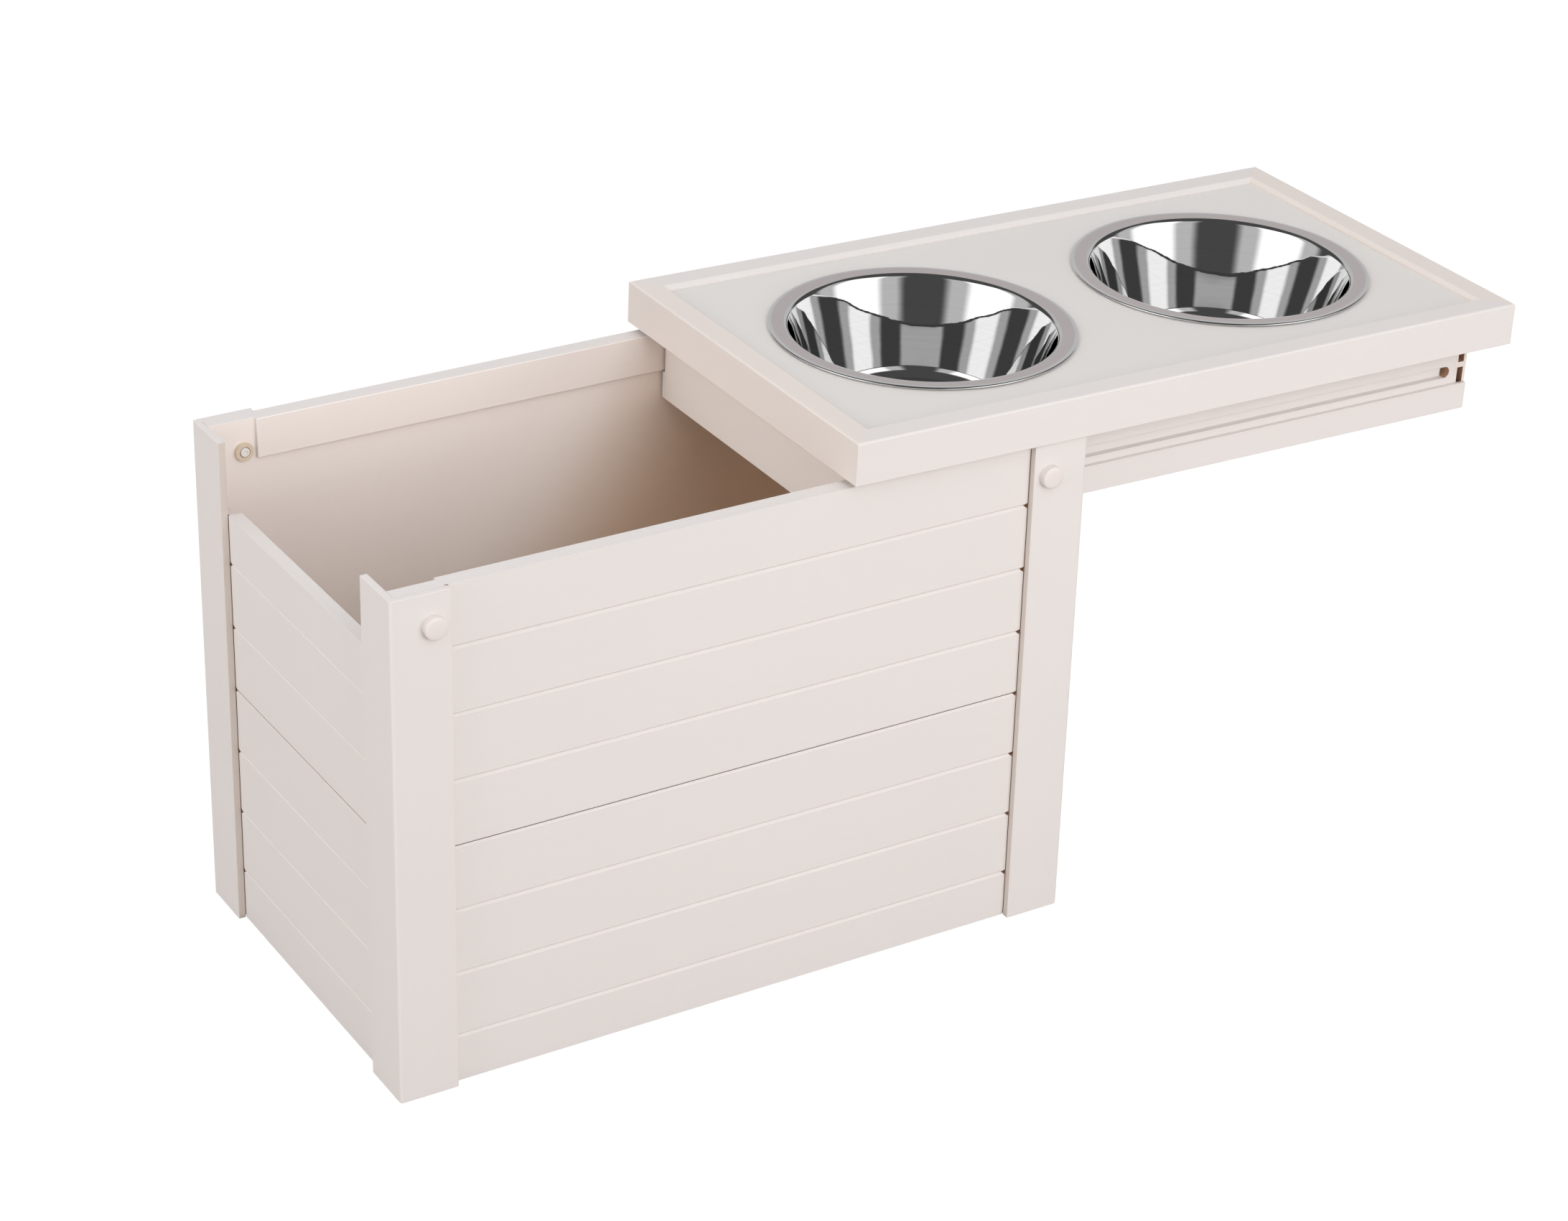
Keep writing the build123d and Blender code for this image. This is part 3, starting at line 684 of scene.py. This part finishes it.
# %% Make the boards
GROOVE_PITCH = 47.9 * MM
GROOVE_SIZES = {"front": (3.2 * MM, 1.6 * MM), "back": (3.2 * MM, 1.6 * MM), "left": (1.7 * MM, 0.5 * MM)}
GROOVE_SIZES["right"] = GROOVE_SIZES["left"]
GAP_HEIGHT = 0.5 * MM
TENON_THICKNESS = 4.8 * MM
SHOULDER_GAP = 0.3 * MM
NOTCH_WIDTH = 2.4 * MM
NOTCH_SHOWN = 0.35 * MM
NOTCH_DEPTH = 0.8 * MM
POCKET_WIDTH = 2.6 * MM
POCKET_SHOWN = 0.9 * MM
POCKET_DEPTH = 5 * MM
NO_GAP_ABOVE = 10 * MM
NO_TENON = (1 * MM, 20 * MM)
PAINTED_SHADE_BELOW = 0.1 * MM
PAINTED_SHADE_DEPTH = 6.5 * MM

post_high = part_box("post_front_left")[1]
shoulder = -post_high.y - SHOULDER_GAP
tenon_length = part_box("left_board_upper")[1].y - shoulder

WALLS = {
    "front": (Vector((1, 0, 0)), Vector((0, 1, 0))),
    "back": (Vector((-1, 0, 0)), Vector((0, -1, 0))),
    "left": (Vector((0, -1, 0)), Vector((1, 0, 0))),
    "right": (Vector((0, 1, 0)), Vector((-1, 0, 0))),
}


def outer_side(low, high, inward):
    """Where a board's outer face lies along one axis, or its middle along an axis of the wall."""
    if inward == 0:
        return (low + high) / 2
    return low if inward > 0 else high


boards = []
for wall, (along, inward) in WALLS.items():
    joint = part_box(f"{wall}_board_upper")[0].z
    groove_width, groove_depth = GROOVE_SIZES[wall]
    long_wall = wall in ("front", "back")
    tenon = NO_TENON if long_wall else (tenon_length, TENON_THICKNESS)
    board_finish = board_finishes[0 if long_wall else 1]
    for half in ("upper", "lower"):
        node = f"{wall}_board_{half}"
        low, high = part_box(node)
        outer = [outer_side(low[a], high[a], inward[a]) for a in range(2)]
        columns = [along, inward, Vector((0, 0, 1))]
        place = Matrix.Translation((outer[0], outer[1], 0)) @ Matrix(columns).transposed().to_4x4()
        top = high.z if half == "upper" else joint
        step = GROOVE_PITCH if half == "upper" else -GROOVE_PITCH
        reach = abs((top if half == "upper" else low.z) - joint)
        flange_edge = abs((post_high - (low + high) / 2).dot(along))
        board = follow_rule(
            node + "_slatted",
            board_rule,
            place,
            Length=abs((high - low).dot(along)),
            Thickness=abs((high - low).dot(inward)),
            Bottom=low.z,
            Top=top,
            First_groove=joint + GAP_HEIGHT / 2,
            Groove_pitch=step,
            Groove_count=1 + int((reach - groove_width) / GROOVE_PITCH),
            Groove_width=groove_width,
            Groove_depth=groove_depth,
            Gap_level=joint if half == "upper" else top + NO_GAP_ABOVE,
            Gap_height=GAP_HEIGHT,
            Tenon_length=tenon[0],
            Tenon_thickness=tenon[1],
            Notch_at=flange_edge + NOTCH_WIDTH / 2 - NOTCH_SHOWN,
            Notch_width=NOTCH_WIDTH,
            Notch_depth=NOTCH_DEPTH,
            Pocket_at=flange_edge - POCKET_SHOWN,
            Pocket_width=POCKET_WIDTH,
            Pocket_depth=POCKET_DEPTH,
            Finish=board_finish,
        )
        board.data.materials.clear()
        for finish in (board_finish, core_and_shade_finish):
            board.data.materials.append(finish)
        # Faces beside the flanges, in the pockets and in the joint take the brown core finish: painted shade in
        # these recesses.
        for face in board.data.polygons:
            centre = place.inverted() @ face.center
            beside_flange = abs(abs(centre.x) - flange_edge) < NOTCH_WIDTH and centre.y > PAINTED_SHADE_BELOW
            in_joint = abs(centre.z - joint) < 2 * GAP_HEIGHT and centre.y > groove_depth
            face.material_index = int((beside_flange or in_joint) and centre.y < PAINTED_SHADE_DEPTH)
        ease_edges(board, 0.12 * MM)
        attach(board, "box")
        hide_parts(node)
        boards.append(board)
print("boards", [(board.name, len(board.data.polygons)) for board in boards])

# %% [markdown]
# ## Caps over the pins
#
# A soft domed cap covers the head of each guide pin on the outside of a post. All four are one rule: a
# cylinder whose top is drawn up into a dome, set on the corners of a flat grid that has the pins' spacing.
# The dome follows a superellipse, which leaves the rim upright and the middle nearly flat.

# %% Build the cap rule
CAP_SIDES = 56
CAP_RINGS = 14
TINY = 1e-7

cap_rule, given = new_rule(
    "domed caps",
    Radius=float,
    Rim_height=float,
    Dome_height=float,
    Squareness=float,
    Spacing_along=float,
    Spacing_across=float,
    Finish=bpy.types.Material,
)
disc = add(
    cap_rule,
    "GeometryNodeMeshCylinder",
    {"fill_type": "TRIANGLE_FAN"},
    Vertices=CAP_SIDES,
    Side_Segments=1,
    Fill_Segments=CAP_RINGS,
    Radius=given["Radius"],
    Depth=given["Rim_height"],
)
position = add(cap_rule, "GeometryNodeInputPosition").outputs[0]
spot = axes(cap_rule, position)
flat_place = vector(cap_rule, spot[0], spot[1], 0.0)
from_middle = add(cap_rule, "ShaderNodeVectorMath", {"operation": "LENGTH"}, i0=flat_place).outputs["Value"]
angle = math(cap_rule, "MULTIPLY", math(cap_rule, "DIVIDE", from_middle, given["Radius"]), pi / 2)
angle = math(cap_rule, "MINIMUM", angle, pi / 2)
power = math(cap_rule, "DIVIDE", 2.0, given["Squareness"])
radius_share = math(cap_rule, "POWER", math(cap_rule, "SINE", angle), power)
new_radius = math(cap_rule, "MULTIPLY", given["Radius"], radius_share)
cosine = math(cap_rule, "MAXIMUM", math(cap_rule, "COSINE", angle), 0.0)
rise = math(cap_rule, "MULTIPLY", given["Dome_height"], math(cap_rule, "POWER", cosine, power))
stretch = math(cap_rule, "DIVIDE", new_radius, math(cap_rule, "MAXIMUM", from_middle, TINY))
domed_place = vector(
    cap_rule,
    math(cap_rule, "MULTIPLY", spot[0], stretch),
    math(cap_rule, "MULTIPLY", spot[1], stretch),
    math(cap_rule, "ADD", spot[2], rise),
)
on_top = math(cap_rule, "GREATER_THAN", spot[2], 0.0)
domed = add(
    cap_rule, "GeometryNodeSetPosition", Geometry=disc.outputs["Mesh"], Selection=on_top, Position=domed_place
)
half_rim = math(cap_rule, "MULTIPLY", given["Rim_height"], 0.5)
cap = placed(cap_rule, domed.outputs[0], Translation=vector(cap_rule, 0.0, 0.0, half_rim))
corners = add(
    cap_rule,
    "GeometryNodeMeshGrid",
    Size_X=given["Spacing_along"],
    Size_Y=given["Spacing_across"],
    Vertices_X=2,
    Vertices_Y=2,
)
side = math(cap_rule, "SIGN", axes(cap_rule, position)[1])
outward_turn = math(cap_rule, "MULTIPLY", side, -pi / 2)
turn = add(cap_rule, "FunctionNodeEulerToRotation", i0=vector(cap_rule, outward_turn)).outputs[0]
placed_caps = add(
    cap_rule,
    "GeometryNodeInstanceOnPoints",
    Points=corners.outputs["Mesh"],
    Instance=cap,
    Rotation=turn,
)
end_rule(cap_rule, placed_caps.outputs[0], given["Finish"])
print("cap rule", len(cap_rule.nodes), "nodes")

# %% [markdown]
# The four caps lie square to the posts. Their radius, spacing and level are read from the CAD model.

# %% Make the caps
CAP_DOME_SHARE = 0.3
CAP_SQUARENESS = 3.0
CAP_RIM_EDGE = radians(50)

low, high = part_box("pin_caps")
post_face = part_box("post_back_left")[1].y
cap_radius = (high.z - low.z) / 2
cap_height = high.y - post_face
caps = follow_rule(
    "caps_domed",
    cap_rule,
    Matrix.Translation(((low.x + high.x) / 2, 0, (low.z + high.z) / 2)),
    Radius=cap_radius,
    Rim_height=cap_height * (1 - CAP_DOME_SHARE),
    Dome_height=cap_height * CAP_DOME_SHARE,
    Squareness=CAP_SQUARENESS,
    Spacing_along=high.x - low.x - 2 * cap_radius,
    Spacing_across=2 * post_face,
    Finish=cap_finish,
)
for face in caps.data.polygons:
    face.use_smooth = True
caps.data.set_sharp_from_angle(angle=CAP_RIM_EDGE)
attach(caps, "box")
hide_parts("pin_caps")
print("caps", len(caps.data.polygons), "faces, radius", round(cap_radius, 4))

# %% [markdown]
# ## The bowls
#
# Each bowl is drawn from one sheet: a flat floor, a rounded corner, a straight cone of a wall, and a flat rim
# whose edge is rolled into a bead. It is a lathe shape, so one closed section is turned about the bowl's
# axis. The section runs up the inside, round the bead and down the outside, so the sheet has its thickness.
# A fine section matters here more than anywhere else, because polished steel shows every facet.

# %% Draw the bowl's section
RIM_RADIUS = 108.0
MOUTH_RADIUS = 94.5
FLOOR_RADIUS = 73.5
BOWL_DEPTH = 70.5
SHEET = 0.8
BEAD_REACH = 1.5
BEAD_RISE = 0.95
RIM_SINK = 0.05
FLOOR_CORNER = 11.0
MOUTH_CORNER = 4.2
MOUTH_DROP = 0.35
BEAD_TUCK = 0.3
TURNS = 168


def arc(centre, radius, start, end, steps):
    """Points on an arc in the section, from one angle in degrees to another."""
    angles = [radians(start + (end - start) * i / steps) for i in range(steps + 1)]
    return [(centre[0] + radius * cos(a), centre[1] + radius * sin(a)) for a in angles]


def corner(before, at, after, radius, steps):
    """Points of a rounded corner between two straight runs of the section."""
    before, at, after = Vector(before), Vector(at), Vector(after)
    out_a, out_b = (before - at).normalized(), (after - at).normalized()
    half = out_a.angle(out_b) / 2
    bisector = (out_a + out_b).normalized()
    centre = at + bisector * (radius / sin(half))
    cut_back = radius / (sin(half) / cos(half))
    start, end = at + out_a * cut_back, at + out_b * cut_back
    points = []
    for i in range(steps + 1):
        part = (start - centre).lerp(end - centre, i / steps).normalized() * radius
        points.append(tuple(centre + part))
    return points


def run(start, end, steps):
    """Points between two points of the section, ends left out."""
    return [tuple(Vector(start).lerp(Vector(end), i / steps)) for i in range(1, steps)]


bead_x = RIM_RADIUS - BEAD_REACH
rim_inner = (bead_x - BEAD_TUCK, -RIM_SINK)
mouth = (MOUTH_RADIUS, -RIM_SINK - MOUTH_DROP)
floor_corner = (FLOOR_RADIUS, -BOWL_DEPTH)
floor_points = corner((0, -BOWL_DEPTH), floor_corner, mouth, FLOOR_CORNER, 12)
mouth_points = corner(floor_corner, mouth, rim_inner, MOUTH_CORNER, 8)
inside = [(0.0, -BOWL_DEPTH)] + run((0, -BOWL_DEPTH), floor_points[0], 14) + floor_points
inside += run(floor_points[-1], mouth_points[0], 8) + mouth_points
inside += run(mouth_points[-1], rim_inner, 4) + [rim_inner]
bead = [(bead_x + x * BEAD_REACH, (y - 1) * BEAD_RISE) for x, y in arc((0, 0), 1, 90, -90, 18)]
under_mouth = (MOUTH_RADIUS + SHEET, mouth[1] - SHEET)
under_corner = (FLOOR_RADIUS + SHEET, -BOWL_DEPTH - SHEET)
under_rim = (bead_x - BEAD_REACH - BEAD_TUCK, rim_inner[1] - SHEET)
outside = [under_rim] + corner(under_rim, under_mouth, under_corner, MOUTH_CORNER - SHEET, 5)
outside += corner(under_mouth, under_corner, (0, under_corner[1]), FLOOR_CORNER + SHEET, 10)
outside += run(outside[-1], (0, under_corner[1]), 5) + [(0.0, under_corner[1])]
section = inside + bead + outside
print("section", len(section), "points, widest", max(x for x, _ in section))

# %% [markdown]
# Each bowl is turned about the axis of its hole. The tray droops a little, so its own directions are read
# from the joint that it slides along.

# %% Turn the bowls
slide = next(joint for joint in frame["joints"] if joint["name"] == "tray_slide")
tray_along = Vector(slide["axis"]).normalized()
tray_up = tray_along.cross(Vector((0, 1, 0)))
tray_turn = Matrix([tray_along, Vector((0, 1, 0)), tray_up]).transposed().to_4x4()
droop = abs(tray_along.z)


def turn_bowl(node):
    """The lathe shape of one bowl in the place of its CAD piece, with the radius kept at every point."""
    low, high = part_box(node)
    middle = Vector(((low.x + high.x) / 2, (low.y + high.y) / 2, high.z - RIM_RADIUS * MM * droop))
    shape = bmesh.new()
    stored = shape.verts.layers.float.new("radius")
    poles = [shape.verts.new((0, 0, section[i][1] * MM)) for i in (0, -1)]
    rings = []
    for radius, rise in section[1:-1]:
        turns = [2 * pi * i / TURNS for i in range(TURNS)]
        ring = [shape.verts.new((radius * MM * cos(a), radius * MM * sin(a), rise * MM)) for a in turns]
        for vertex in ring:
            vertex[stored] = radius * MM
        rings.append(ring)
    for i in range(TURNS):
        j = (i + 1) % TURNS
        shape.faces.new((poles[0], rings[0][i], rings[0][j]))
        shape.faces.new((poles[1], rings[-1][j], rings[-1][i]))
        for lower, upper in zip(rings, rings[1:]):
            shape.faces.new((lower[i], upper[i], upper[j], lower[j]))
    for face in shape.faces:
        face.smooth = True
    mesh = close_shape(shape, node + "_spun", steel_finish)
    mesh.transform(Matrix.Translation(middle) @ tray_turn)
    bowl = new_piece(node + "_spun", mesh)
    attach(bowl, node)
    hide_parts(node)
    return bowl


bowls = [turn_bowl(node) for node in ("bowl_left", "bowl_right")]
print("bowls", [(bowl.name, len(bowl.data.polygons)) for bowl in bowls])

# %% [markdown]
# ## Pieces whose CAD shape stays
#
# The cleats under the bin's floor, the pins, washers and glides have the right shape already. They only take
# their finish.

# %% Finish the remaining CAD pieces
KEPT = {
    "floor_cleat_front": board_finishes[0],
    "floor_cleat_back": board_finishes[0],
    "floor_cleat_left": board_finishes[1],
    "floor_cleat_right": board_finishes[1],
    "guide_pins_left": pin_finish,
    "guide_pins_right": pin_finish,
    "guide_washers": washer_finish,
    "guide_glides": washer_finish,
}
for name, finish in KEPT.items():
    nodes[name].data.materials.clear()
    nodes[name].data.materials.append(finish)
print("finished in place", sorted(KEPT))

# %% [markdown]
# The bin's floor gets an ear at each corner, which closes the slot beside a side board's tenon.

# %% Draw the bin floor
EAR_REACH = 5 * MM
EAR_CLEARANCE = 0.5 * MM

low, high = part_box("bin_floor")
ear = shoulder + EAR_CLEARANCE
corner_outline = [(high.x, ear), (high.x + EAR_REACH, ear), (high.x + EAR_REACH, high.y)]
middle_x = (low.x + high.x) / 2
far_side = [(2 * middle_x - x, y) for x, y in reversed(corner_outline)]
half_outline = corner_outline + far_side
outline = half_outline + [(x, -y) for x, y in reversed(half_outline)]
shape = bmesh.new()
bottom = [shape.verts.new((x, y, low.z)) for x, y in outline]
top = [shape.verts.new((x, y, high.z)) for x, y in outline]
shape.faces.new(bottom[::-1])
shape.faces.new(top)
for i in range(len(outline)):
    shape.faces.new((bottom[i - 1], bottom[i], top[i], top[i - 1]))
bin_floor = new_piece("bin_floor_eared", close_shape(shape, "bin_floor_eared", board_finishes[0]))
ease_edges(bin_floor, 0.3 * MM)
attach(bin_floor, "box")
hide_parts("bin_floor")
print("bin floor", len(outline), "corners")

# %% [markdown]
# ## Floor and background
#
# The floor is a wide pale sheet. The camera sees most of it as plain white, through Light Path's Is Camera
# Ray, and a part of it as an ordinary surface, so that the object keeps its soft shadow. Rays that leave the
# object meet the ordinary pale floor, which lights the object from below as a studio floor does.

# %% Make the floor
FLOOR_PALE = (0.44, 0.405, 0.375, 1.0)
FLOOR_SHOWN_WHITE = 0.88
FLOOR_WHITE_LIGHT = 1.12
FLOOR_HALF = 9.0
FLOOR_LEVEL = -0.3 * MM
SQUARE = ((-1, -1), (1, -1), (1, 1), (-1, 1))

floor_finish, floor_tree, floor_shader = new_finish("studio floor", Roughness=0.7)
floor_place = add(floor_tree, "ShaderNodeTexCoord").outputs["Object"]
floor_value = around(floor_tree, 1, noise(floor_tree, floor_place, 1.5, 2.0), 0.02)
floor_tone = shaded(floor_tree, FLOOR_PALE, floor_value)
floor_tree.links.new(floor_tone, floor_shader.inputs["Base Color"])
white = add(floor_tree, "ShaderNodeEmission", Color=(1.0, 1.0, 1.0, 1.0), Strength=FLOOR_WHITE_LIGHT)
path = add(floor_tree, "ShaderNodeLightPath")
shown = math(floor_tree, "MULTIPLY", path.outputs["Is Camera Ray"], FLOOR_SHOWN_WHITE)
mixed = add(floor_tree, "ShaderNodeMixShader", i0=shown, i1=floor_shader.outputs[0], i2=white.outputs[0])
floor_tree.links.new(mixed.outputs[0], floor_tree.nodes["Material Output"].inputs["Surface"])

floor_mesh = bpy.data.meshes.new("studio_floor")
floor_corners = [(x * FLOOR_HALF, y * FLOOR_HALF, FLOOR_LEVEL) for x, y in SQUARE]
floor_mesh.from_pydata(floor_corners, [], [(0, 1, 2, 3)])
floor_mesh.materials.append(floor_finish)
floor = new_piece("studio_floor", floor_mesh)
print("floor", FLOOR_HALF * 2, "m wide")

# %% [markdown]
# ## The room around the object
#
# The background is white. Metal shows what stands around it, and an evenly white room would leave the bowls
# without form. So the glossy rays meet a plain studio that is laid out by one rule: an upright screen of the
# same width stands every 60 degrees, counted from the camera. The one at the camera is black, the ones on
# either side of it are bright, the next two are black, and the place opposite the camera is bare grey wall.
# The ceiling is black. Everything else is lit by a soft, even white.

# %% Make the room
ROOM_LIGHT = 0.58
STUDIO_LIGHT = 1.5
WINDOW_GREY = 1.0
WALL_GREY = 0.4
BLACK_GREY = 0.05
SCREEN_GREYS = {0: BLACK_GREY, 1: WINDOW_GREY, -1: WINDOW_GREY, 2: BLACK_GREY, -2: BLACK_GREY}
SCREEN_STEP = 60
SCREEN_WIDTH = 40
EDGE_WIDTH = 10
CEILING_FADE = (0.7, 0.8)

room = bpy.data.worlds.new("studio room")
bpy.context.scene.world = room
room.use_nodes = True
tree = room.node_tree
tree.nodes.clear()
looking = axes(tree, add(tree, "ShaderNodeTexCoord").outputs["Generated"])
compass = math(tree, "ARCTAN2", looking[1], looking[0])
camera_bearing = atan2(CAMERA_PLACE[1], CAMERA_PLACE[0])


def upright_screen(bearing):
    """1 where a ray that leaves the object meets the screen at this bearing, and 0 past its soft edges."""
    nearness = math(tree, "COSINE", math(tree, "SUBTRACT", compass, bearing))
    outer = cos(radians((SCREEN_WIDTH + EDGE_WIDTH) / 2))
    inner = cos(radians((SCREEN_WIDTH - EDGE_WIDTH) / 2))
    return fade(tree, nearness, outer, inner)


def covered(light, cover, amount):
    """A light where nothing covers it, and the cover's own level where it does."""
    left_over = math(tree, "MULTIPLY", light, math(tree, "SUBTRACT", 1.0, amount))
    return math(tree, "ADD", left_over, math(tree, "MULTIPLY", amount, cover))


studio = WALL_GREY
for place, grey in SCREEN_GREYS.items():
    bearing = camera_bearing + radians(place * SCREEN_STEP)
    studio = covered(studio, grey, upright_screen(bearing))
studio = covered(studio, BLACK_GREY, fade(tree, looking[2], *CEILING_FADE))
studio = math(tree, "MULTIPLY", studio, STUDIO_LIGHT)
path = add(tree, "ShaderNodeLightPath")
soft = (ROOM_LIGHT, ROOM_LIGHT, ROOM_LIGHT * 1.01, 1.0)
unseen = blend_colour(tree, path.outputs["Is Glossy Ray"], soft, studio)
room_colour = blend_colour(tree, path.outputs["Is Camera Ray"], unseen, (1.0, 1.0, 1.0, 1.0))
background = add(tree, "ShaderNodeBackground", Color=room_colour, Strength=1.0)
tree.links.new(background.outputs[0], add(tree, "ShaderNodeOutputWorld").inputs["Surface"])
print("room", len(SCREEN_GREYS), "screens")

# %% [markdown]
# ## Lamps
#
# Six area lamps do what a studio's softboxes do. Each stands in a direction from the object and faces it. The
# key is small and low, nearly square to the front, so the caps throw short crisp shadows on the posts. Wide
# ones light the front and the left side, high ones reach into the bin, and one behind lights the top.

# %% Place the lamps
LAMPS_AIM = Vector((0, 0, 0.2))


def softbox(name, bearing, rise, distance, size, watts):
    """A square area lamp in a direction from the object, at a distance, facing it."""
    level, up = cos(radians(rise)), sin(radians(rise))
    away = Vector((level * cos(radians(bearing)), level * sin(radians(bearing)), up))
    lamp = bpy.data.lights.new(name, "AREA")
    lamp.energy = watts
    lamp.size = size
    holder = bpy.data.objects.new(name, lamp)
    facing = away.to_track_quat("Z", "Y").to_matrix().to_4x4()
    holder.matrix_world = Matrix.Translation(LAMPS_AIM + away * distance) @ facing
    holder.visible_glossy = False
    bpy.context.scene.collection.objects.link(holder)
    return holder


lamps = [
    softbox("key_lamp", -73, 9, 2.1, 0.6, 8),
    softbox("front_lamp", -95, 25, 3.2, 1.6, 23),
    softbox("high_lamp", -85, 46, 3.2, 2.0, 12),
    softbox("left_lamp", -178, 10, 3.2, 1.6, 20),
    softbox("high_left_lamp", -178, 32, 3.2, 1.6, 15),
    softbox("back_lamp", 90, 45, 3.2, 2.0, 13),
]
print("lamps", [(lamp.name, lamp.data.energy) for lamp in lamps])
